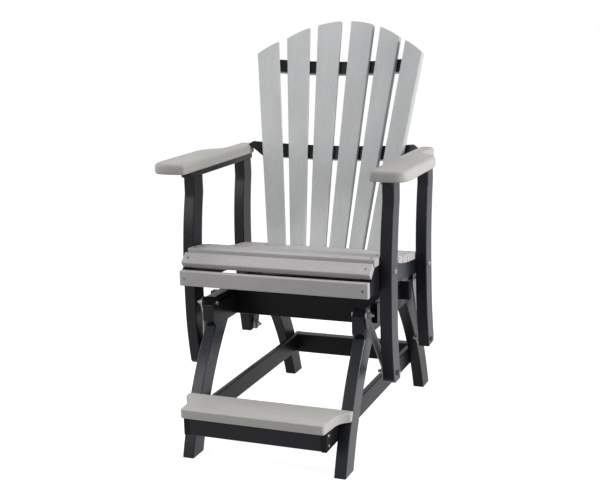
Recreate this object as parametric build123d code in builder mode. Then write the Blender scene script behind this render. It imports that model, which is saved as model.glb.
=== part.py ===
from build123d import *
import os
from math import asin, atan2, cos, degrees, hypot, radians, sin, sqrt

# Counter height glider: a seat and back that swing on four steel links from a tall base.
# Millimetres. +Z up, the sitter faces -Y, +X is the right of the picture.
# The pieces are drawn about the middle of the base, and are then moved to the origin, which
# lies on the floor in the middle of the whole glider's footprint.
# The right-hand pieces are drawn, and the left-hand ones are their mirror images.

os.makedirs("parts", exist_ok=True)

# Board stock
frame_board = 38.0
slat_board = 25.0
back_board = 19.0
side_board = 19.0
apron_board = 22.0
arm_board = 38.0
arm_rail_board = 20.4
edge_cut = 2.2
cut_over = 60.0
footprint_shift = 36.6

# Base side frames: curved legs under a straight top rail
base_half_width = 272.0
base_rail_low = 376.0
base_rail_height = 95.0
base_rail_half_length = 279.5
rail_top_chamfer = 23.0
rail_low_chamfer_rise = 20.0
rail_low_chamfer_run = 15.0
leg_top_reach = 170.7
leg_foot_reach = 390.5
leg_inner_radius = 990.6
leg_width = 71.0
leg_turn_start = 10.0
leg_turn_span = 40.0
base_cross_face = 104.0
block_low = 407.0
block_depth = 26.0
front_block_y = -190.0
front_block_thickness = 15.0
rear_block_y = 104.0
rear_block_thickness = 34.0

# Lower frame and footrest
stretcher_low = 100.0
stretcher_height = 63.0
stretcher_rear = 421.0
rear_cross_low = 95.0
rear_cross_height = 70.0
rear_cross_inset = 6.0
foot_front = 538.0
foot_rear = 393.0
foot_board = 28.0
foot_support_front = 516.0
foot_support_height = 62.0
foot_wide_half = 273.0
foot_neck_half = 240.0
foot_front_half = 233.0
foot_lug_depth = 24.0
foot_neck_depth = 72.0
foot_corner = 9.0
foot_leg_gap = 1.0

# Links and their pivots
link_length = 210.8
link_width = 38.0
link_thickness = 5.0
link_joggle_start = 32.0
link_joggle_end = 178.0
top_pivot_y = 256.5
top_pivot_z = 451.0
front_lean = 69.8
rear_lean = 47.0
pivot_bolt_radius = 4.75
bolt_hole_gap = 0.4
hex_sides = 6
hole_sides = 12
washer_sides = 12
pivot_run_gap = 0.08
open_pivot_play = 3.6
spacer_thickness = 3.7
washer_thickness = 2.0
washer_radius = 11.5
open_washer_radius = 17.0
face_gap = 0.3
hex_head_radius = 8.4
hex_head_height = 6.4
pivot_nut_height = 8.4
pivot_thread_over = 7.0

# Seat posts
post_inner = 314.0
post_width = 67.0
post_knee_y = -214.0
rear_post_knee_y = 171.5
post_knee_z = 795.0
rear_post_turn = 2.0
post_top_z = 849.6
belly_forward = 34.0
belly_high = 269.0
belly_low = 355.0
foot_back = 18.5
foot_down = 541.0
post_end_down = 569.0
post_end_front_round = 23.0
post_end_rear_round = 17.0
post_knee_width = 63.0
post_toe = 4.0

# Arms
arm_rail_width = 42.0
arm_rail_front = 229.5
arm_rail_rear = 251.0
arm_rail_corner = 8.0
arm_inner = 306.0
arm_width = 114.0
arm_front = 317.0
arm_rear = 244.0
arm_neck_width = 49.0
arm_bow_start = -14.0
arm_bow_end = 118.0
arm_front_inner_round = 10.0
arm_front_outer_round = 39.0
arm_rear_round = 8.0
arm_top_cut = 7.0
arm_low_cut = 4.0

# Seat frame: contoured side rails that carry the slats
seat_rail_front = 329.8
seat_rail_rear = 215.0
seat_crest_y = -286.0
seat_crest_z = 608.0
seat_shoulder_y = -120.0
seat_shoulder_z = 586.0
seat_dip_y = -50.0
seat_dip_z = 568.5
seat_tail_y = 155.0
seat_tail_z = 538.0
seat_nose_y = -329.8
seat_nose_z = 570.5
seat_rail_front_low = 530.0
seat_rail_mid_y = -50.0
seat_rail_mid_low = 514.0
seat_rail_rear_low = 481.0
seat_slat_half = 312.0
seat_slat_width = 44.5
seat_slat_gap = 6.0
seat_slat_count = 7
slat_lift = 0.05
tilt_slat_width = 43.5
tilt_slat_gap = 1.5
apron_low = 526.8
apron_height = 48.2
apron_half = 311.0
rear_slat_back_gap = 3.0
rear_slat_side_gap = 6.0

# Back: six tapered slats set on a hollow curve and leaned back
back_radius = 717.0
back_lean = 17.7
back_foot_y = 159.0
back_foot_z = 609.6
back_slat_low = -128.0
back_arch_top = 745.5
back_arch_half = (110.0, 212.0, 258.0, 308.0)
back_arch_up = (727.0, 675.0, 648.5, 607.9)
slat_high_up = 617.0
slat_low_inner = (7.5, 82.0, 152.5)
slat_low_outer = (66.5, 137.5, 216.0)
slat_high_inner = (16.3, 122.7, 226.0)
slat_high_outer = (96.8, 199.6, 297.5)
back_rail_board = 26.0
back_rail_seat = 1.0
upper_rail_low = 561.0
upper_rail_height = 43.5
upper_rail_half = 268.0
lower_rail_low = 259.0
lower_rail_height = 48.0
lower_rail_top_chamfer = (14.0, 11.0)
lower_rail_low_chamfer = (46.0, 35.0)
bottom_rail_low = -128.0
bottom_rail_height = 36.0

# Fasteners in the boards
seat_bolt_radius = 4.0
seat_bolt_head_radius = 9.5
seat_bolt_head_height = 4.6
seat_bolt_head_taper = 30.0
seat_bolt_front = (-207.5, 583.0)
seat_bolt_rear = (180.3, 519.4)
small_nut_radius = 7.4
small_nut_height = 6.5
seat_bolt_over = 3.0

# Places that follow from the sizes above; the leg's hub stands on the middle of its chord
leg_chord_half = hypot(leg_foot_reach - leg_top_reach, base_rail_low) / 2
leg_chord_lean = atan2(leg_foot_reach - leg_top_reach, base_rail_low)
leg_hub_away = sqrt(leg_inner_radius**2 - leg_chord_half**2)
leg_curve_reach = leg_hub_away * cos(leg_chord_lean) - (leg_top_reach + leg_foot_reach) / 2
leg_curve_drop = leg_hub_away * sin(leg_chord_lean) - base_rail_low / 2
base_inner = base_half_width - frame_board
base_rail_high = base_rail_low + base_rail_height
leg_outer_radius = leg_inner_radius + leg_width
stretcher_high = stretcher_low + stretcher_height
stretcher_inner = base_inner - side_board
post_outer = post_inner + frame_board
seat_rail_inner = post_inner - frame_board
link_pack = spacer_thickness + face_gap
link_top_inner = base_half_width + link_pack
link_low_inner = post_inner - link_pack - link_thickness
arm_low = post_top_z + arm_rail_board
arm_outer = arm_inner + arm_width
arm_neck_outer = arm_inner + arm_neck_width
pivot_hole_radius = pivot_bolt_radius + bolt_hole_gap
seat_hole_radius = seat_bolt_radius + bolt_hole_gap
front_drop = sqrt(link_length**2 - front_lean**2)
rear_drop = sqrt(link_length**2 - rear_lean**2)
front_low_pivot = (front_lean - top_pivot_y, top_pivot_z - front_drop)
rear_low_pivot = (top_pivot_y - rear_lean, top_pivot_z - rear_drop)


def save(piece, label):
    """Moves one finished piece to the stated origin, labels it and writes it."""
    placed = piece.moved(Location((0, footprint_shift, 0)))
    placed.label = label
    export_step(placed, f"parts/{label}.step")


def save_pair(piece, label):
    """Writes a right-hand piece and its mirror image."""
    save(mirror(piece, about=Plane.YZ), f"{label}_left")
    save(piece, f"{label}_right")


def side_plane(x, y=0.0, z=0.0, turn=0.0):
    """A plane seen from the right side: local x runs to the rear, local y runs up."""
    along = (0, cos(radians(turn)), sin(radians(turn)))
    return Plane(origin=(x, y, z), x_dir=along, z_dir=(1, 0, 0))


def both_sides(pieces):
    """A group of right-hand solids together with their mirror images."""
    return Compound(children=pieces + [mirror(piece, about=Plane.YZ) for piece in pieces])


rail_middle_x = base_inner + frame_board / 2
lower_cross_y = stretcher_rear - rear_cross_inset - frame_board

# Rear leg: a board with eased edges, bent about one centre, cut flat at the floor and under the rail
with BuildPart() as leg:
    leg_start = (0, cos(radians(leg_turn_start)), sin(radians(leg_turn_start)))
    leg_normal = (0, -sin(radians(leg_turn_start)), cos(radians(leg_turn_start)))
    leg_hub = (rail_middle_x, -leg_curve_reach, -leg_curve_drop)
    with BuildSketch(Plane(origin=leg_hub, x_dir=(1, 0, 0), z_dir=leg_normal)) as profile:
        with Locations((0, leg_inner_radius)):
            Rectangle(frame_board, leg_width, align=(Align.CENTER, Align.MIN))
        chamfer(profile.vertices(), edge_cut)
    revolve(axis=Axis(leg_hub, (1, 0, 0)), revolution_arc=leg_turn_span)
    split(bisect_by=Plane.XY, keep=Keep.TOP)
    split(bisect_by=Plane.XY.offset(base_rail_low), keep=Keep.BOTTOM)
save_pair(leg.part, "leg_rear")
save_pair(mirror(leg.part, about=Plane.XZ), "leg_front")

# Top side rail: cut corners at both ends and a hole for each pivot bolt
with BuildPart() as top_rail:
    with BuildSketch(side_plane(base_inner)):
        with BuildLine():
            Polyline(
                (-base_rail_half_length, base_rail_low + rail_low_chamfer_rise),
                (-base_rail_half_length, base_rail_high - rail_top_chamfer),
                (rail_top_chamfer - base_rail_half_length, base_rail_high),
                (0, base_rail_high),
                (0, base_rail_low),
                (rail_low_chamfer_run - base_rail_half_length, base_rail_low),
                close=True,
            )
        make_face()
        mirror(about=Plane.YZ)
    extrude(amount=frame_board)
    chamfer(top_rail.edges().filter_by(Axis.Y).group_by(Axis.Z)[-1], edge_cut)
    with BuildSketch(side_plane(base_inner)):
        with Locations((-top_pivot_y, top_pivot_z), (top_pivot_y, top_pivot_z)):
            Circle(pivot_hole_radius)
    extrude(amount=frame_board, mode=Mode.SUBTRACT)
save_pair(top_rail.part, "top_rail")


def make_base_cross(face_y, low, height, half_length):
    """A frame board across the base, its front face at face_y."""
    with BuildPart() as cross:
        with BuildSketch(side_plane(-half_length)) as profile:
            with Locations((face_y, low)):
                Rectangle(frame_board, height, align=(Align.MIN, Align.MIN))
            chamfer(profile.vertices(), edge_cut)
        extrude(amount=2 * half_length)
    return cross.part


for face_y, label in ((-base_cross_face, "front"), (base_cross_face - frame_board, "rear")):
    board = make_base_cross(face_y, base_rail_low, base_rail_height, base_inner)
    save(board, f"top_crossrail_{label}")
board = make_base_cross(lower_cross_y, rear_cross_low, rear_cross_height, stretcher_inner)
save(board, "lower_crossrail_rear")


def make_block(front_y, thickness):
    """A right-hand block on the outer face of the top side rail, level with its top."""
    with BuildPart() as block:
        with BuildSketch(side_plane(base_half_width)):
            with Locations((front_y, block_low)):
                Rectangle(block_depth, base_rail_high - block_low, align=(Align.MIN, Align.MIN))
        extrude(amount=thickness)
        chamfer(block.faces().sort_by(Axis.X)[-1].edges(), edge_cut)
    return block.part


save_pair(make_block(front_block_y, front_block_thickness), "rail_block_front")
save_pair(make_block(rear_block_y, rear_block_thickness), "rail_block_rear")

# Lower side rail: runs inside the legs and carries the footrest at its front
with BuildPart() as lower_rail:
    with BuildSketch(side_plane(stretcher_inner)):
        with Locations((-foot_support_front, stretcher_low)):
            Rectangle(
                foot_support_front + stretcher_rear,
                stretcher_height,
                align=(Align.MIN, Align.MIN),
            )
    extrude(amount=side_board)
    chamfer(lower_rail.edges().filter_by(Axis.Y), edge_cut)
save_pair(lower_rail.part, "lower_rail")

# Footrest: a board on edge between the side rails carries the shaped top board
board = make_base_cross(
    -foot_support_front,
    stretcher_high - foot_support_height,
    foot_support_height,
    stretcher_inner,
)
save(board, "footrest_support")

with BuildPart() as footrest:
    with BuildSketch(Plane.XY.offset(stretcher_high)) as outline:
        with BuildLine():
            Line((0, -foot_rear), (foot_wide_half, -foot_rear))
            Line((foot_wide_half, -foot_rear), (foot_wide_half, -foot_rear - foot_lug_depth))
            TangentArc(
                (foot_neck_half, -foot_rear - foot_neck_depth),
                (foot_wide_half, -foot_rear - foot_lug_depth),
                tangent=(foot_neck_half - foot_front_half, foot_front - foot_rear - foot_neck_depth),
            )
            Line((foot_neck_half, -foot_rear - foot_neck_depth), (foot_front_half, -foot_front))
            Line((foot_front_half, -foot_front), (0, -foot_front))
            Line((0, -foot_front), (0, -foot_rear))
        make_face()
        mirror(about=Plane.YZ)
        front_corners = outline.vertices().group_by(Axis.Y)[0].sort_by(Axis.X)
        fillet([front_corners[0], front_corners[-1]], foot_corner)
    extrude(amount=foot_board)
    chamfer(footrest.faces().sort_by(Axis.Z)[-1].outer_wire().edges(), edge_cut)
    with BuildSketch(side_plane(-foot_wide_half)):
        with Locations((leg_curve_reach, -leg_curve_drop)):
            Circle(leg_outer_radius + foot_leg_gap)
    extrude(amount=2 * foot_wide_half, mode=Mode.SUBTRACT)
save(footrest.part, "footrest_board")


# Links: flat steel bars with round eyes, set over sideways between rail and post
def make_link(top_y, lean, low_bore):
    """A right-hand link; lean is how far its lower eye lies behind its upper one."""
    drop = sqrt(link_length**2 - lean**2)
    turn = degrees(atan2(lean, drop))
    end = link_width / 2
    level = (0, cos(radians(turn)), sin(radians(turn)))
    edge_on = Plane(origin=(0, top_y, top_pivot_z), x_dir=(1, 0, 0), z_dir=level)
    outer_top = link_top_inner + link_thickness
    outer_low = link_low_inner + link_thickness
    with BuildPart() as link:
        with BuildSketch(edge_on):
            with BuildLine():
                Polyline(
                    (link_top_inner, -end),
                    (link_top_inner, link_joggle_start),
                    (link_low_inner, link_joggle_end),
                    (link_low_inner, link_length + end),
                    (outer_low, link_length + end),
                    (outer_low, link_joggle_end),
                    (outer_top, link_joggle_start),
                    (outer_top, -end),
                    close=True,
                )
            make_face()
        extrude(amount=end, both=True)
        eyes = side_plane(base_half_width, top_y, top_pivot_z, turn)
        with BuildSketch(eyes):
            with Locations((0, -link_length / 2)):
                SlotCenterToCenter(link_length, link_width, rotation=90)
        extrude(amount=post_inner - base_half_width, mode=Mode.INTERSECT)
        for drop_along, radius in ((0, eye_bore), (link_length, low_bore)):
            with BuildSketch(eyes):
                with Locations((0, -drop_along)):
                    Circle(radius)
            extrude(amount=post_inner - base_half_width, mode=Mode.SUBTRACT)
    return link.part


eye_bore = pivot_bolt_radius + pivot_run_gap
open_bore = pivot_bolt_radius + open_pivot_play
save_pair(make_link(-top_pivot_y, front_lean, eye_bore), "front_link")
save_pair(make_link(top_pivot_y, -rear_lean, open_bore), "rear_link")


def make_pivot_bolt(x_head, x_end, y, z):
    """A hex bolt along X with its head's underside at x_head."""
    way = 1 if x_end > x_head else -1
    with BuildPart() as bolt:
        with BuildSketch(side_plane(x_head, y, z)):
            RegularPolygon(hex_head_radius, hex_sides)
        extrude(amount=-way * hex_head_height)
        with BuildSketch(side_plane(x_head, y, z)):
            Circle(pivot_bolt_radius)
        extrude(amount=x_end - x_head)
    return bolt.part


def make_seat_bolt(y, z):
    """A bolt with a low domed head, from a post's outer face into the seat rail."""
    end = seat_rail_inner - small_nut_height - seat_bolt_over
    with BuildPart() as bolt:
        with BuildSketch(side_plane(post_outer, y, z)):
            RegularPolygon(seat_bolt_head_radius, hole_sides)
        extrude(amount=seat_bolt_head_height, taper=seat_bolt_head_taper)
        with BuildSketch(side_plane(post_outer, y, z)):
            RegularPolygon(seat_bolt_radius, hole_sides)
        extrude(amount=end - post_outer)
    return bolt.part


def make_ring(x, y, z, thickness, radius, sides, bore):
    """A nut or washer along X from x towards +X."""
    with BuildPart() as ring:
        with BuildSketch(side_plane(x, y, z)):
            RegularPolygon(radius, sides)
            RegularPolygon(bore, hole_sides, mode=Mode.SUBTRACT)
        extrude(amount=thickness)
    return ring.part


# Pivot hardware: each bolt carries a washer either side of its link, and a nut
top_nut_x = link_top_inner + link_thickness + face_gap + washer_thickness
low_nut_x = link_low_inner - face_gap - washer_thickness - pivot_nut_height
top_bolts = []
top_nuts = []
low_bolts = []
low_nuts = []
for top_y, low, low_washer in (
    (-top_pivot_y, front_low_pivot, washer_radius),
    (top_pivot_y, rear_low_pivot, open_washer_radius),
):
    top = (top_y, top_pivot_z)
    hex_nut = (pivot_nut_height, hex_head_radius, hex_sides, pivot_hole_radius)
    top_washer = (washer_radius, washer_sides, pivot_hole_radius)
    wide_washer = (low_washer, washer_sides, pivot_hole_radius)
    top_end = top_nut_x + pivot_nut_height + pivot_thread_over
    low_end = low_nut_x - pivot_thread_over
    top_bolts.append(make_pivot_bolt(base_inner, top_end, *top))
    low_bolts.append(make_pivot_bolt(post_outer, low_end, *low))
    top_nuts.append(make_ring(top_nut_x, *top, *hex_nut))
    top_nuts.append(make_ring(base_half_width, *top, spacer_thickness, *top_washer))
    top_nuts.append(make_ring(top_nut_x - washer_thickness, *top, washer_thickness, *top_washer))
    low_nuts.append(make_ring(low_nut_x, *low, *hex_nut))
    low_nuts.append(make_ring(post_inner - spacer_thickness, *low, spacer_thickness, *wide_washer))
    low_washer_x = low_nut_x + pivot_nut_height
    low_nuts.append(make_ring(low_washer_x, *low, washer_thickness, *wide_washer))
save(both_sides(top_bolts), "top_pivot_bolts")
save(both_sides(top_nuts), "top_pivot_nuts_washers")
save(both_sides(low_bolts), "lower_pivot_bolts")
save(both_sides(low_nuts), "lower_pivot_nuts_washers")

# The back's shape: a hollow curve whose axis stands in front of the slats, leaned back
lean = radians(back_lean)
back_up = Vector(0, sin(lean), cos(lean))
back_out = Vector(0, cos(lean), -sin(lean))
back_foot = Vector(0, back_foot_y, back_foot_z)
back_axis = back_foot - back_out * back_radius
back_ground = Plane(origin=back_axis, x_dir=(1, 0, 0), z_dir=back_up)
back_front = Plane(origin=back_foot, x_dir=(1, 0, 0), z_dir=-back_out)


def back_point(x, along, behind=0.0):
    """The point on the curve at half width x, a length up the back, and behind its front."""
    angle = asin(x / back_radius)
    radius = back_radius + behind
    out = back_out * (radius * cos(angle))
    return back_axis + back_up * along + out + Vector(radius * sin(angle), 0, 0)


def make_back_slat(low_inner, low_outer, high_inner, high_outer):
    """A right-hand slat that widens upwards, its top cut to the arch of the back."""
    foot = back_point((low_inner + low_outer) / 2, 0)
    head = back_point((high_inner + high_outer) / 2, slat_high_up)
    low_half = (back_point(low_outer, 0) - back_point(low_inner, 0)).length / 2
    high_width = back_point(high_outer, slat_high_up) - back_point(high_inner, slat_high_up)
    high_half = high_width.length / 2
    along = (head - foot).normalized()
    radial = (foot + head) / 2 - back_axis
    radial = radial - back_up * radial.dot(back_up)
    across = along.cross(radial).normalized()
    length = (head - foot).length
    spread = (high_half - low_half) / length
    start = back_slat_low
    stop = back_arch_top + cut_over
    arch_points = list(zip(back_arch_half, back_arch_up))
    with BuildPart() as slat:
        with BuildSketch(Plane(origin=foot, x_dir=across, z_dir=across.cross(along))):
            with BuildLine():
                Polyline(
                    (-low_half - spread * start, start),
                    (low_half + spread * start, start),
                    (low_half + spread * stop, stop),
                    (-low_half - spread * stop, stop),
                    close=True,
                )
            make_face()
        extrude(amount=back_board)
        with BuildSketch(back_front):
            with BuildLine():
                ThreePointArc((0, back_arch_top), *arch_points[:2])
                ThreePointArc(*arch_points[1:])
                Line(arch_points[-1], (back_arch_half[-1] + cut_over, back_arch_up[-1] - cut_over))
                Line(
                    (back_arch_half[-1] + cut_over, back_arch_up[-1] - cut_over),
                    (back_arch_half[-1] + cut_over, start - cut_over),
                )
                Line((back_arch_half[-1] + cut_over, start - cut_over), (0, start - cut_over))
                Line((0, start - cut_over), (0, back_arch_top))
            make_face()
        extrude(amount=back_radius / 2, both=True, mode=Mode.INTERSECT)
        chamfer(slat.edges(), edge_cut)
    return slat.part


back_slats = []
for sizes in zip(slat_low_inner, slat_low_outer, slat_high_inner, slat_high_outer):
    back_slats.append(make_back_slat(*sizes))
all_back_slats = back_slats + [mirror(slat, about=Plane.YZ) for slat in back_slats]


def make_back_rail(low, height, half_length, top_cut, low_cut):
    """A curved rail behind the slats, with a flat for each slat and cut end corners."""
    front = back_radius + back_board - back_rail_seat
    high = low + height
    with BuildPart() as rail:
        with BuildSketch(back_ground.offset(low)):
            Circle(front + back_rail_seat + back_rail_board)
            Circle(front, mode=Mode.SUBTRACT)
            with Locations((0, back_radius)):
                Rectangle(2 * half_length, back_radius, mode=Mode.INTERSECT)
        extrude(amount=height)
        with BuildSketch(back_front):
            with BuildLine():
                Polyline(
                    (0, high),
                    (half_length - top_cut[0], high),
                    (half_length, high - top_cut[1]),
                    (half_length, low + low_cut[1]),
                    (half_length - low_cut[0], low),
                    (0, low),
                    close=True,
                )
            make_face()
            mirror(about=Plane.YZ)
        extrude(amount=back_radius / 2, both=True, mode=Mode.INTERSECT)
        for slat in all_back_slats:
            add(slat, mode=Mode.SUBTRACT)
    return rail.part


no_cut = (edge_cut, edge_cut)
back_rails = {
    "back_rail_upper": (upper_rail_low, upper_rail_height, upper_rail_half, no_cut, no_cut),
    "back_rail_lower": (
        lower_rail_low,
        lower_rail_height,
        arm_inner,
        lower_rail_top_chamfer,
        lower_rail_low_chamfer,
    ),
    "back_rail_bottom": (bottom_rail_low, bottom_rail_height, seat_rail_inner, no_cut, no_cut),
}
for label, sizes in back_rails.items():
    save(make_back_rail(*sizes), label)
for number, slat in enumerate(back_slats, start=1):
    save_pair(slat, f"back_slat_{number}")


# Seat posts: bowed boards that reach from the arms down to the links
def make_post(knee_y, turn, bolt_place, pivot):
    """A right-hand post; its outline is drawn from the knee under the arm."""
    top = post_top_z - post_knee_z + cut_over
    toe = foot_back - belly_forward + post_toe
    with BuildPart() as post:
        with BuildSketch(side_plane(post_inner, knee_y, post_knee_z, turn)) as outline:
            with BuildLine():
                Line((0, top), (0, 0))
                TangentArc((-belly_forward, -belly_high), (0, 0), tangent=(0, 1))
                Line((-belly_forward, -belly_high), (-belly_forward, -belly_low))
                TangentArc(
                    (-belly_forward, -belly_low),
                    (foot_back - belly_forward, -foot_down),
                    tangent=(0, -1),
                )
                Line((foot_back - belly_forward, -foot_down), (toe, -post_end_down))
                Line((toe, -post_end_down), (toe + post_width, -post_end_down))
                rear_foot = (post_width + foot_back - belly_forward, -foot_down)
                Line((toe + post_width, -post_end_down), rear_foot)
                rear_low = (post_width - belly_forward, -belly_low)
                TangentArc(rear_low, rear_foot, tangent=(0, -1))
                Line(rear_low, (post_width - belly_forward, -belly_high))
                TangentArc(
                    (post_width - belly_forward, -belly_high),
                    (post_knee_width, 0),
                    tangent=(0, 1),
                )
                Line((post_knee_width, 0), (post_knee_width, top))
                Line((post_knee_width, top), (0, top))
            make_face()
            low_corners = outline.vertices().group_by(Axis.Z)[:2]
            corners = ShapeList([v for group in low_corners for v in group]).sort_by(Axis.Y)
            fillet(corners[0], post_end_front_round)
            fillet(corners[-1], post_end_rear_round)
        extrude(amount=frame_board)
        split(bisect_by=Plane.XY.offset(post_top_z), keep=Keep.BOTTOM)
        for side in (post.faces().sort_by(Axis.X)[0], post.faces().sort_by(Axis.X)[-1]):
            chamfer(side.edges().sort_by(Axis.Z)[:-1], edge_cut)
        for place, radius in ((bolt_place, seat_hole_radius), (pivot, pivot_hole_radius)):
            with BuildSketch(side_plane(post_inner, *place)):
                Circle(radius)
            extrude(amount=frame_board, mode=Mode.SUBTRACT)
    return post.part


save_pair(make_post(post_knee_y, 0.0, seat_bolt_front, front_low_pivot), "post_front")
save_pair(make_post(rear_post_knee_y, rear_post_turn, seat_bolt_rear, rear_low_pivot), "post_rear")

# Arm support rail on top of the two posts of one side
with BuildPart() as arm_rail:
    with BuildSketch(Plane.XY.offset(post_top_z)) as outline:
        with Locations((post_inner, -arm_rail_front)):
            Rectangle(
                arm_rail_width,
                arm_rail_front + arm_rail_rear,
                align=(Align.MIN, Align.MIN),
            )
        chamfer(outline.vertices(), arm_rail_corner)
    extrude(amount=arm_rail_board)
    chamfer(arm_rail.faces().sort_by(Axis.Z)[0].edges(), edge_cut)
save_pair(arm_rail.part, "arm_rail")

# Arm: a wide front that narrows in one sweep to the rear
with BuildPart() as arm:
    with BuildSketch(Plane.XY.offset(arm_low)) as outline:
        with BuildLine():
            Line((arm_inner, arm_rear), (arm_inner, -arm_front))
            Line((arm_inner, -arm_front), (arm_outer, -arm_front))
            Line((arm_outer, -arm_front), (arm_outer, arm_bow_start))
            bow_middle = ((arm_outer + arm_neck_outer) / 2, (arm_bow_start + arm_bow_end) / 2)
            TangentArc((arm_outer, arm_bow_start), bow_middle, tangent=(0, 1))
            TangentArc((arm_neck_outer, arm_bow_end), bow_middle, tangent=(0, -1))
            Line((arm_neck_outer, arm_bow_end), (arm_neck_outer, arm_rear))
            Line((arm_neck_outer, arm_rear), (arm_inner, arm_rear))
        make_face()
        fillet(outline.vertices().sort_by(Axis.Y)[-2:], arm_rear_round)
        fillet(outline.vertices().sort_by(Axis.Y)[:2].sort_by(Axis.X)[0], arm_front_inner_round)
        fillet(outline.vertices().sort_by(Axis.Y)[:2].sort_by(Axis.X)[-1], arm_front_outer_round)
    extrude(amount=arm_board)
    chamfer(arm.faces().sort_by(Axis.Z)[-1].edges(), arm_top_cut)
    chamfer(arm.faces().sort_by(Axis.Z)[0].edges(), arm_low_cut)
save_pair(arm.part, "arm")

# Seat side rail: its top carries the slats, its nose the tilted slat and the apron
with BuildLine(side_plane(0)) as seat_line:
    seat_crest = (seat_crest_y, seat_crest_z)
    seat_shoulder = (seat_shoulder_y, seat_shoulder_z)
    seat_dip = (seat_dip_y, seat_dip_z)
    TangentArc(seat_crest, seat_shoulder, tangent=(1, 0))
    Line(seat_shoulder, seat_dip)
    TangentArc(
        seat_dip,
        (seat_tail_y, seat_tail_z),
        tangent=(seat_dip_y - seat_shoulder_y, seat_dip_z - seat_shoulder_z),
    )
seat_wire = seat_line.wires()[0]

with BuildPart() as seat_rail:
    with BuildSketch(side_plane(seat_rail_inner)):
        with BuildLine():
            TangentArc(seat_crest, seat_shoulder, tangent=(1, 0))
            Line(seat_shoulder, seat_dip)
            TangentArc(
                seat_dip,
                (seat_tail_y, seat_tail_z),
                tangent=(seat_dip_y - seat_shoulder_y, seat_dip_z - seat_shoulder_z),
            )
            Polyline(
                (seat_tail_y, seat_tail_z),
                (seat_rail_rear, seat_tail_z),
                (seat_rail_rear, seat_rail_rear_low),
                (seat_rail_mid_y, seat_rail_mid_low),
                (-seat_rail_front, seat_rail_front_low),
                (seat_nose_y, seat_nose_z),
                seat_crest,
            )
        make_face()
    extrude(amount=frame_board)
    for place in (seat_bolt_front, seat_bolt_rear):
        with BuildSketch(side_plane(seat_rail_inner, *place)):
            Circle(seat_hole_radius)
        extrude(amount=frame_board, mode=Mode.SUBTRACT)

def make_slat(y, z, turn, width, thickness, half_length):
    """A rounded slat across the seat whose underside's front edge is at (y, z)."""
    with BuildPart() as slat:
        with BuildSketch(side_plane(-half_length, y, z, turn)) as profile:
            Rectangle(width, thickness, align=(Align.MIN, Align.MIN))
            chamfer(profile.vertices(), edge_cut)
        extrude(amount=2 * half_length)
    return slat.part


def lay_slat(start, width):
    """Where a slat lies on the seat line: the y, z and turn of its underside's front edge."""
    first = seat_wire @ (start / seat_wire.length)
    middle = seat_wire @ ((start + width / 2) / seat_wire.length)
    last = seat_wire @ ((start + width) / seat_wire.length)
    bulge = max(0, middle.Z - (first.Z + last.Z) / 2)
    turn = degrees(atan2(last.Z - first.Z, last.Y - first.Y))
    return first.Y, first.Z + bulge + slat_lift, turn


slat_pitch = seat_slat_width + seat_slat_gap
seat_slats = []
for number in range(seat_slat_count):
    lie = lay_slat(number * slat_pitch, seat_slat_width)
    seat_slats.append(make_slat(*lie, seat_slat_width, slat_board, seat_slat_half))

# The rear slat is wider, and its rear edge is scooped to the curve of the back
rear_slat_start = seat_slat_count * slat_pitch
rear_slat_width = seat_wire.length - rear_slat_start
rear_lie = lay_slat(rear_slat_start, rear_slat_width)
rear_blank = make_slat(*rear_lie, rear_slat_width, slat_board, seat_slat_half)
with BuildPart() as rear_slat:
    add(rear_blank)
    with BuildSketch(back_ground.offset(back_slat_low)):
        Circle(back_radius + cut_over)
        Circle(back_radius - rear_slat_back_gap, mode=Mode.SUBTRACT)
        with Locations((0, back_radius)):
            notch_half = slat_low_outer[-1] + rear_slat_side_gap
            Rectangle(2 * notch_half, back_radius, mode=Mode.INTERSECT)
    extrude(amount=-back_slat_low, mode=Mode.SUBTRACT)

# Tilted front slat on the rail's nose, and the apron below it
nose_turn = degrees(atan2(seat_crest_z - seat_nose_z, seat_crest_y - seat_nose_y))
nose_length = hypot(seat_crest_z - seat_nose_z, seat_crest_y - seat_nose_y)
tilt_start = nose_length - tilt_slat_width - tilt_slat_gap
tilt_y = seat_nose_y + tilt_start * cos(radians(nose_turn))
tilt_z = seat_nose_z + tilt_start * sin(radians(nose_turn))
tilt_lie = (tilt_y, tilt_z, nose_turn)
tilt_slat = make_slat(*tilt_lie, tilt_slat_width, slat_board, seat_slat_half)
apron_y = -seat_rail_front - apron_board
with BuildPart() as apron:
    with BuildSketch(side_plane(-apron_half)) as profile:
        with Locations((apron_y, apron_low)):
            Rectangle(apron_board, apron_height, align=(Align.MIN, Align.MIN))
        chamfer(profile.vertices(), edge_cut)
    extrude(amount=2 * apron_half)

for number, slat in enumerate(seat_slats, start=1):
    save(slat, f"seat_slat_{number}")
save(rear_slat.part, "seat_slat_rear")
save(tilt_slat, "seat_slat_tilted")
save(apron.part, "seat_apron")
save_pair(seat_rail.part, "seat_rail")

# Bolts and nuts that clamp the seat side rails between the posts
seat_places = (seat_bolt_front, seat_bolt_rear)
seat_nut = (small_nut_height, small_nut_radius, hex_sides, seat_hole_radius)
nut_x = seat_rail_inner - small_nut_height
save(both_sides([make_seat_bolt(*place) for place in seat_places]), "seat_bolts")
save(both_sides([make_ring(nut_x, *place, *seat_nut) for place in seat_places]), "seat_nuts")
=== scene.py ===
import math

import bmesh
import bpy
from mathutils import Matrix, Vector


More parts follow.
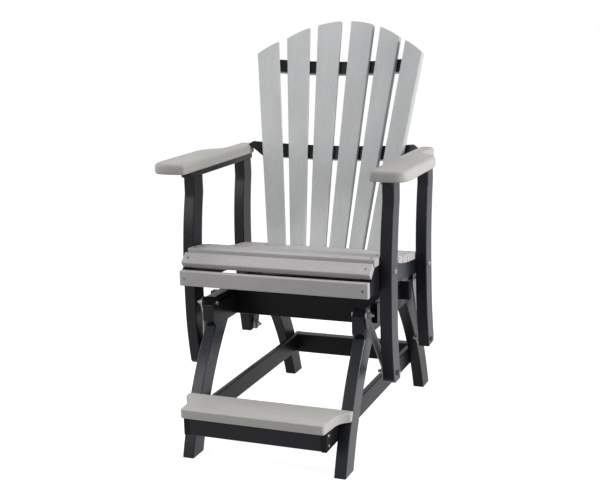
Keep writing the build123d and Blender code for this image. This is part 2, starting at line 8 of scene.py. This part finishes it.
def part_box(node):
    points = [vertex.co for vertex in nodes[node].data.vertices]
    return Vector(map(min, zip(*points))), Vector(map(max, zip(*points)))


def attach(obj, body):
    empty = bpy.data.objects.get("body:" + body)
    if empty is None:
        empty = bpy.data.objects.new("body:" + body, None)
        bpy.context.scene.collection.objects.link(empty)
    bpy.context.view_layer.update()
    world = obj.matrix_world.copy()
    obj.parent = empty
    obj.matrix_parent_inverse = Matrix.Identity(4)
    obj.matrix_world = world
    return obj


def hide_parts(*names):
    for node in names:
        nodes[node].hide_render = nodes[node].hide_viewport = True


# Counter height glider: grained plastic boards, black frame and zinc steel links.
# Metres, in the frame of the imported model: +Z up, the sitter faces -Y.

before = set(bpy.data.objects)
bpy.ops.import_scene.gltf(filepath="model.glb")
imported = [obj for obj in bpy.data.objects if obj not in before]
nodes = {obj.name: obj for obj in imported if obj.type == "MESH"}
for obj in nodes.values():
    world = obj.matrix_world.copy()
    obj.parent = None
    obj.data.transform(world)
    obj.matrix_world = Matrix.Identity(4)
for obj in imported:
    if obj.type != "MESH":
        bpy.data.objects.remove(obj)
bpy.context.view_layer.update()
scene = bpy.context.scene
mm = 0.001
white = (1, 1, 1, 1)

across = (1, 0, 0)
rearward = (0, 1, 0)
forwards = (0, -1, 0)
upward = (0, 0, 1)
sides = (-1, 1)


# Materials
def srgb(*levels):
    """Linear colour of three 0-255 levels."""
    found = []
    for level in levels:
        share = level / 255
        found.append(share / 12.92 if share <= 0.04045 else ((share + 0.055) / 1.055) ** 2.4)
    return (*found, 1.0)


class Nodes:
    """The node tree of a material or world, with short ways to add and join nodes."""

    def __init__(self, owner, output):
        owner.use_nodes = True
        self.tree = owner.node_tree
        self.tree.nodes.clear()
        self.out = self.add(output)

    def add(self, kind, **settings):
        node = self.tree.nodes.new(kind)
        for key, value in settings.items():
            setattr(node, key, value)
        return node

    def put(self, socket, value):
        """Joins an output to the socket, or sets the socket to a constant."""
        if isinstance(value, bpy.types.NodeSocket):
            self.tree.links.new(value, socket)
        else:
            socket.default_value = value

    def feed(self, node, values):
        """Joins or sets the node's inputs by their names."""
        for name, value in values.items():
            self.put(node.inputs[name], value)
        return node

    def grain(self, along, start=(0, 0, 0)):
        """Coordinates of the object, moved to start and turned to run along the grain."""
        turn = self.add("ShaderNodeMapping")
        rotation = Vector(along).rotation_difference(Vector(across)).to_euler()
        place = self.add("ShaderNodeTexCoord").outputs["Object"]
        self.feed(turn, {"Vector": place, "Rotation": rotation, "Location": start})
        return turn.outputs["Vector"]

    def noise(self, line, stretch, scale, detail, rough):
        """Noise in the grain's coordinates; a stretch below 1 draws it out along the grain."""
        drawn = self.add("ShaderNodeVectorMath", operation="MULTIPLY")
        self.put(drawn.inputs[0], line)
        self.put(drawn.inputs[1], (stretch, 1, 1))
        node = self.add("ShaderNodeTexNoise")
        place = drawn.outputs[0]
        self.feed(node, {"Vector": place, "Scale": scale, "Detail": detail, "Roughness": rough})
        return node.outputs["Fac"]

    def spread(self, value, low, high, to_low=0.0, to_high=1.0):
        """The value's range from low to high, mapped and clamped to another one."""
        node = self.add("ShaderNodeMapRange", clamp=True)
        for socket, given in zip(node.inputs, (value, low, high, to_low, to_high)):
            self.put(socket, given)
        return node.outputs["Result"]

    def math(self, kind, first, second):
        node = self.add("ShaderNodeMath", operation=kind)
        self.put(node.inputs[0], first)
        self.put(node.inputs[1], second)
        return node.outputs[0]

    def total(self, first, *others):
        for other in others:
            first = self.math("ADD", first, other)
        return first

    def mix(self, share, first, second):
        node = self.add("ShaderNodeMix", data_type="RGBA")
        self.feed(node, {"Factor": share, "A": first, "B": second})
        return node.outputs["Result"]

    def bump(self, height, depth):
        node = self.add("ShaderNodeBump")
        self.feed(node, {"Strength": 1.0, "Distance": depth, "Height": height})
        return node.outputs["Normal"]

    def sight(self):
        """1 on what the camera sees, also in a mirror or through glass, and 0 elsewhere."""
        path = self.add("ShaderNodeLightPath")
        seen = path.outputs["Is Camera Ray"]
        for ray in ("Is Glossy Ray", "Is Transmission Ray"):
            seen = self.math("MAXIMUM", seen, path.outputs[ray])
        return seen


def new_material(name):
    """A new material and its empty node tree."""
    material = bpy.data.materials.new(name)
    return material, Nodes(material, "ShaderNodeOutputMaterial")


# Noise: stretch along the grain, scale, detail, roughness
streak_noise = (0.09, 620, 4.0, 0.6)
fibre_noise = (0.2, 1900, 2.0, 0.5)
fleck_noise = (1, 1150, 1.0, 0.5)
cloud_noise = (0.35, 14, 2.0, 0.5)
drawn_noise = (0.06, 900, 3.0, 0.6)
bloom_noise = (1, 90, 4.0, 0.6)

# Boards: each layer's share of the tone, and how far the streaks change the roughness
tone_range = (0.3, 0.7)
streak_tone, fleck_tone, cloud_tone = 0.42, 0.36, 0.22
ridge_range = (0.25, 0.75)
fine_relief = 0.5
streak_smooth, streak_rough = 0.07, 0.09
seed_steps = (1.37, 0.71, 2.13)
plastic_ior = 1.4
coat_rough = 0.2
# The cool coat tint turns the coated black boards a little blue, as a painted sheen colour.
coat_tint = (0.82, 0.9, 1.0, 1.0)

# Steel: shifts of the grey level where it is fresh and where it is worn
fresh_shift = (0, 0, 2)
worn_shift = (-20, -19, -17)
worn_range = (0.42, 0.66)
bloom_range = (0.3, 0.7)
bloom_smooth, bloom_rough = 0.08, 0.12
drawn_depth = 0.04 * mm


def board_material(name, along, seed, dark, light, rough, grain_depth, shine, coat):
    """Grained plastic board; along is the direction of its grain."""
    material, made = new_material(name)
    line = made.grain(along, [seed * step for step in seed_steps])
    streak = made.noise(line, *streak_noise)
    fibre = made.noise(line, *fibre_noise)
    fleck = made.noise(line, *fleck_noise)
    cloud = made.noise(line, *cloud_noise)
    tone = made.total(
        made.spread(streak, *tone_range, 0, streak_tone),
        made.spread(fleck, *tone_range, 0, fleck_tone),
        made.spread(cloud, *tone_range, 0, cloud_tone),
    )
    height = made.total(
        made.spread(streak, *ridge_range),
        made.math("MULTIPLY", fibre, fine_relief),
        made.math("MULTIPLY", fleck, fine_relief),
    )
    surface = made.add("ShaderNodeBsdfPrincipled")
    made.feed(surface, {
        "Base Color": made.mix(tone, dark, light),
        "Roughness": made.spread(streak, *ridge_range, rough - streak_smooth, rough + streak_rough),
        "IOR": plastic_ior,
        "Specular IOR Level": shine,
        "Coat Weight": coat,
        "Coat Roughness": coat_rough,
        "Coat Tint": coat_tint,
        "Normal": made.bump(height, grain_depth),
    })
    made.put(made.out.inputs["Surface"], surface.outputs["BSDF"])
    return material


def steel_material(name, along, level, rough):
    """Zinc plated steel, drawn along one direction and a little dull in patches."""
    material, made = new_material(name)
    line = made.grain(along)
    drawn = made.noise(line, *drawn_noise)
    bloom = made.noise(line, *bloom_noise)
    fresh, worn = (
        srgb(*(level + shift for shift in shifts)) for shifts in (fresh_shift, worn_shift)
    )
    surface = made.add("ShaderNodeBsdfPrincipled")
    made.feed(surface, {
        "Base Color": made.mix(made.spread(bloom, *worn_range), fresh, worn),
        "Metallic": 1.0,
        "Roughness": made.spread(bloom, *bloom_range, rough - bloom_smooth, rough + bloom_rough),
        "Normal": made.bump(drawn, drawn_depth),
    })
    made.put(made.out.inputs["Surface"], surface.outputs["BSDF"])
    return material


# Finish: roughness, depth of the grain, shine, coat
pale_finish = (0.5, 0.16 * mm, 0.4, 0.0)
leg_finish = (0.3, 0.08 * mm, 0.3, 0.1)
rail_finish = (0.36, 0.08 * mm, 0.14, 0.03)
black_finish = (0.32, 0.08 * mm, 0.22, 0.06)

# Looks of the boards: slot, starts of the names, dark and light colour, finish.
# The first that fits counts, and what fits none is steel.
# The boards are one light plastic and one black plastic. The entries before the last of each
# are lit and shaded copies of it, with painted light and painted shade in their colours.
looks = (
    # Arms: the light plastic painted a little darker and warmer, as painted shade.
    ("light_board", "arm_", srgb(150, 148, 145), srgb(188, 186, 182), pale_finish),
    # Footrest boards: the light plastic painted lighter, as painted light.
    ("light_board", "footrest_board", srgb(162, 161, 158), srgb(200, 198, 194), pale_finish),
    # Back slats: the light plastic painted lighter and cooler, as painted light.
    ("light_board", "back_slat", srgb(164, 166, 167), srgb(202, 204, 205), pale_finish),
    ("light_board", "", srgb(157, 154, 154), srgb(194, 191, 191), pale_finish),
    # Front legs: the black plastic painted lighter and bluer, as a painted sheen.
    ("black_board", "leg_front", srgb(12, 14, 18), srgb(31, 34, 41), leg_finish),
    # Lower rails, top cross rail and rear legs: the black plastic painted flatter and darker, as
    # painted shade.
    (
        "black_board", ("lower_", "top_crossrail", "leg_rear"),
        srgb(11, 11, 12), srgb(26, 25, 27), rail_finish,
    ),
    ("black_board", "", srgb(10, 11, 15), srgb(27, 29, 35), black_finish),
)
steel_level, steel_rough = 138, 0.42

# Grain of the back slats: they lean back and fan out, more with each slat from the middle
back_lean = math.radians(17.7)
fan_start, fan_step = 0.045, 0.04

# Edges
weld_reach = 0.01 * mm
board_edge, steel_edge = 1.3 * mm, 0.35 * mm
edge_segments = 3
edge_angle = math.radians(26)
flat_weight = 90


def grain_direction(name):
    """Which way the grain of a node runs: along its box, or along the slat in the back."""
    if name.startswith("back_slat"):
        side = 1 if name.endswith("right") else -1
        fan = fan_start + fan_step * int(name[len("back_slat_")])
        return Vector((side * fan, math.sin(back_lean), math.cos(back_lean)))
    low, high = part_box(name)
    size = high - low
    longest = max(range(3), key=lambda axis: size[axis])
    return (across, rearward, upward)[longest]


def finish_of(name, slot, seed):
    """The material of a node."""
    along = grain_direction(name)
    for board, starts, dark, light, finish in looks:
        if slot.startswith(board) and name.startswith(starts):
            shade = board.removesuffix("_board")
            return board_material(f"{shade}_{name}", along, seed, dark, light, *finish)
    return steel_material(f"zinc_{name}", along, steel_level, steel_rough)


for seed, name in enumerate(sorted(nodes)):
    piece = nodes[name]
    slot = piece.data.materials[0].name if piece.data.materials else ""
    finish = finish_of(name, slot, seed)
    for place in piece.material_slots:
        place.material = finish

    # Sawn and routed edges are a little round
    join = piece.modifiers.new("join", "WELD")
    join.merge_threshold = weld_reach
    ease = piece.modifiers.new("ease", "BEVEL")
    ease.width = board_edge if "board" in slot else steel_edge
    ease.segments = edge_segments
    ease.limit_method = "ANGLE"
    ease.angle_limit = edge_angle
    level = piece.modifiers.new("level", "WEIGHTED_NORMAL")
    level.weight = flat_weight
    level.keep_sharp = False


# Shapes built from rings of points
def add_walls(made, rings):
    """Walls between the rings, and a flat face on the first and the last one."""
    count = len(rings[0])
    for lower, upper in zip(rings, rings[1:]):
        for number in range(count):
            after = (number + 1) % count
            made.faces.new((lower[number], lower[after], upper[after], upper[number]))
    made.faces.new(rings[-1])
    made.faces.new(list(reversed(rings[0])))


def add_object(name, made, material):
    """A new object of the bmesh, which is freed."""
    mesh = bpy.data.meshes.new(name)
    made.to_mesh(mesh)
    made.free()
    mesh.materials.append(material)
    piece = bpy.data.objects.new(name, mesh)
    scene.collection.objects.link(piece)
    return piece


# Arm boards: a bowed front, one sweep to the narrow rear, and a well rounded upper edge.
# The outline is in mm: X from the middle of the chair, and Y as in the part's source,
# whose origin lies arm_shift behind the frame's.
arm_outline = (
    (301, -291), (302, -299), (308, -304), (328, -306), (357, -308), (384, -306), (402, -300),
    (413, -289), (418, -270), (420, -240), (420, -170), (420, -110), (420, -50), (419, -5),
    (416, 25), (408, 47), (394, 63), (378, 75), (364, 90), (357, 108), (355, 135), (355, 180),
    (355, 224), (354, 237), (349, 243), (339, 244), (322, 244), (309, 243), (304, 238), (303, 228),
    (302, 180), (301, 60), (301, -110), (301, -240),
)
arm_foot, arm_shift = 870, 36.6

# Inset and height of the edge, from the lower face to the upper one
arm_profile = (
    (8, 0), (3.6, 1), (0.9, 4), (0, 9), (0, 23), (0.6, 26.8), (2.2, 30.2), (4.7, 33), (8, 34.6),
    (11, 35),
)
outline_steps = 6


def smooth_loop(corners, steps):
    """Points of a closed curve through the corners."""
    found = []
    count = len(corners)
    for number in range(count):
        before, start, end, after = (
            Vector(corners[(number + step) % count]) for step in (-1, 0, 1, 2)
        )
        reach = (end - start).length
        leave = (end - before).normalized() * reach
        arrive = (after - start).normalized() * reach
        for step in range(steps):
            t = step / steps
            found.append(
                start * (2 * t**3 - 3 * t**2 + 1)
                + leave * (t**3 - 2 * t**2 + t)
                + end * (3 * t**2 - 2 * t**3)
                + arrive * (t**3 - t**2)
            )
    return found


def arm_board(side, name, replaced):
    edge = smooth_loop(arm_outline, outline_steps)
    made = bmesh.new()
    rings = []
    for inset, height in arm_profile:
        ring = []
        for number, spot in enumerate(edge):
            way = (edge[(number + 1) % len(edge)] - edge[number - 1]).normalized()
            inner = spot - Vector((way.y, -way.x)) * inset
            place = Vector((side * inner.x, inner.y + arm_shift, arm_foot + height)) * mm
            ring.append(made.verts.new(place))
        rings.append(ring)
    add_walls(made, rings)
    bmesh.ops.recalc_face_normals(made, faces=made.faces)
    for face in made.faces:
        face.smooth = len(face.verts) == 4
    board = add_object(name, made, nodes[replaced].material_slots[0].material)
    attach(board, "seat")
    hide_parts(replaced)


arm_board(-1, "arm_board_left", "arm_left")
arm_board(1, "arm_board_right", "arm_right")


# Screw heads: pan heads with a six-lobed recess, in the ends of the boards
head_sides = 24
head_radius, head_height, head_edge = 4.3 * mm, 0.8 * mm, 0.3 * mm
recess_wide, recess_narrow, recess_floor = 2.2 * mm, 1.6 * mm, 0.15 * mm
recess_middle = (recess_wide + recess_narrow) / 2
lobes = (recess_wide, recess_middle, recess_narrow, recess_middle)

# Rings of a head: radii, taken in turn, and height
head_rings = (
    ((head_radius,), 0.0),
    ((head_radius,), head_height - head_edge),
    ((head_radius - head_edge,), head_height),
    (lobes, head_height),
    (lobes, recess_floor),
)
# The seat's screw heads are a darker grey than the steel, as painted shade of their recesses.
dull_shaded_screw_metal = steel_material("zinc_screw_dull", across, 112, 0.45)
clear_metal = steel_material("zinc_screw_clear", across, 196, 0.34)
least_facing = 0.7


def facing(name, towards):
    """Middle, normal and corners of the largest flat of a node that looks the given way."""
    piece = nodes[name]
    turned = piece.matrix_world.to_3x3()
    flats = {}
    for polygon in piece.data.polygons:
        normal = (turned @ polygon.normal).normalized()
        if normal.dot(Vector(towards)) > least_facing:
            key = tuple(round(part, 2) for part in normal)
            flats.setdefault(key, []).append((polygon.area, normal, polygon.vertices))
    largest = max(flats.values(), key=lambda found: sum(area for area, normal, used in found))
    used = {index for area, normal, found in largest for index in found}
    corners = [piece.matrix_world @ piece.data.vertices[index].co for index in used]
    middle = [(min(part) + max(part)) / 2 for part in zip(*corners)]
    return Vector(middle), largest[0][1], corners


def screw_heads(name, body, places, metal):
    """One piece of heads; each place is a point on a board and the board's normal there."""
    made = bmesh.new()
    for turn, (point, normal) in enumerate(places):
        stand = normal.to_track_quat("Z", "Y")
        rings = []
        for radii, height in head_rings:
            ring = []
            for step in range(head_sides):
                angle = math.tau * step / head_sides + turn
                reach = radii[step % len(radii)]
                spot = Vector((reach * math.cos(angle), reach * math.sin(angle), height))
                ring.append(made.verts.new(point + stand @ spot))
            rings.append(ring)
        add_walls(made, rings)
    piece = add_object(name, made, metal)
    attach(piece, body)


slat_screw_x = 295 * mm
rear_slat_shares = (0.2, 0.8)
tilted_facing = (0, -1, 0.4)


def both_sides(spot, normal):
    """Places of a left and a right screw, level with the spot."""
    return [(Vector((side * slat_screw_x, spot.y, spot.z)), normal) for side in sides]


seat_places = []
ways = {f"seat_slat_{number}": upward for number in range(1, 8)}
ways["seat_slat_tilted"] = tilted_facing
for name, way in ways.items():
    middle, normal, corners = facing(name, way)
    seat_places += both_sides(middle, normal)
middle, normal, corners = facing("seat_slat_rear", upward)
front, rear = (min(corners, key=lambda corner: sign * corner.y) for sign in (1, -1))
for share in rear_slat_shares:
    seat_places += both_sides(front.lerp(rear, share), normal)
middle, normal, corners = facing("seat_apron", forwards)
seat_places += both_sides(middle, normal)
screw_heads("seat_screw_heads", "seat", seat_places, dull_shaded_screw_metal)

# Where the lower side rails meet the footrest's support board and the lower rear cross rail
tie_rows = (-460.4 * mm, 432.6 * mm)
tie_heights = (115.6 * mm, 147.3 * mm)
base_places = []
for side, name in zip(sides, ("lower_rail_left", "lower_rail_right")):
    middle, normal, corners = facing(name, (side, 0, 0))
    base_places += [
        (Vector((middle.x, row, height)), normal) for row in tie_rows for height in tie_heights
    ]
screw_heads("base_screw_heads", "base", base_places, clear_metal)


# Stage: floor, world and lamps
floor_reach = 9.0
floor_grey = (0.4, 0.4, 0.4, 1)
floor_glow = 0.9
world_light, world_seen = 0.26, 1.0

# Lamps: name, place, height of the point that they look at, width, height, watts
lamps = (
    ("overhead", (-0.9, 0.1, 3.5), 0.7, 1.6, 1.6, 40),
    ("front_left", (-1.9, -3.1, 2.0), 0.6, 0.5, 1.8, 30),
    ("left_side", (-3.2, -0.9, 1.2), 0.8, 0.5, 1.5, 36),
    ("right_side", (2.7, -0.2, 1.3), 0.7, 0.6, 1.4, 72),
)

floor_mesh = bpy.data.meshes.new("floor")
floor_corners = [
    (floor_reach * x, floor_reach * y, 0) for x, y in ((-1, -1), (1, -1), (1, 1), (-1, 1))
]
floor_mesh.from_pydata(floor_corners, [], [(0, 1, 2, 3)])
floor = bpy.data.objects.new("floor", floor_mesh)
scene.collection.objects.link(floor)

# The floor takes the shadow, and shows white to the camera
material, made = new_material("floor_white")
dull = made.feed(made.add("ShaderNodeBsdfDiffuse"), {"Color": floor_grey})
glow = made.add("ShaderNodeEmission")
made.feed(glow, {"Color": white, "Strength": made.math("MULTIPLY", made.sight(), floor_glow)})
both = made.add("ShaderNodeAddShader")
made.put(both.inputs[0], dull.outputs[0])
made.put(both.inputs[1], glow.outputs[0])
made.put(made.out.inputs["Surface"], both.outputs[0])
floor_mesh.materials.append(material)

world = bpy.data.worlds.new("world")
scene.world = world
made = Nodes(world, "ShaderNodeOutputWorld")
blend = made.add("ShaderNodeMix", data_type="FLOAT")
made.feed(blend, {"Factor": made.sight(), "A": world_light, "B": world_seen})
back = made.add("ShaderNodeBackground")
made.feed(back, {"Color": white, "Strength": blend.outputs[0]})
made.put(made.out.inputs["Surface"], back.outputs[0])

for name, place, aim, width, height, watts in lamps:
    lamp = bpy.data.lights.new(name, "AREA")
    lamp.shape = "RECTANGLE"
    lamp.size = width
    lamp.size_y = height
    lamp.energy = watts
    lit = bpy.data.objects.new(name, lamp)
    scene.collection.objects.link(lit)
    lit.location = place
    lit.rotation_mode = "QUATERNION"
    lit.rotation_quaternion = (Vector((0, 0, aim)) - Vector(place)).to_track_quat("-Z", "Y")


# Camera, at the place and angle found from the photograph
yaw, pitch, roll = (math.radians(angle) for angle in (22.15, 12.55, -1.61))
camera_place = (1.3251, -3.3502, 1.3945)
focal_px, middle_px, width_px = 1121.9, 296.76, 600
sensor_width = 36

camera_data = bpy.data.cameras.new("camera")
camera = bpy.data.objects.new("camera", camera_data)
scene.collection.objects.link(camera)
scene.camera = camera
level_sight = math.cos(pitch)
sight = Vector((-math.sin(yaw) * level_sight, math.cos(yaw) * level_sight, -math.sin(pitch)))
flat_right = sight.cross(Vector(upward)).normalized()
flat_up = flat_right.cross(sight)
right = flat_right * math.cos(roll) + flat_up * math.sin(roll)
top = flat_up * math.cos(roll) - flat_right * math.sin(roll)
turned = Matrix((right, top, -sight)).transposed().to_4x4()
camera.matrix_world = Matrix.Translation(camera_place) @ turned
camera_data.sensor_width = sensor_width
camera_data.lens = focal_px / width_px * sensor_width
camera_data.shift_x = 0.5 - middle_px / width_px
camera_data.clip_start = 0.1
camera_data.clip_end = 60

scene.view_settings.view_transform = "Standard"
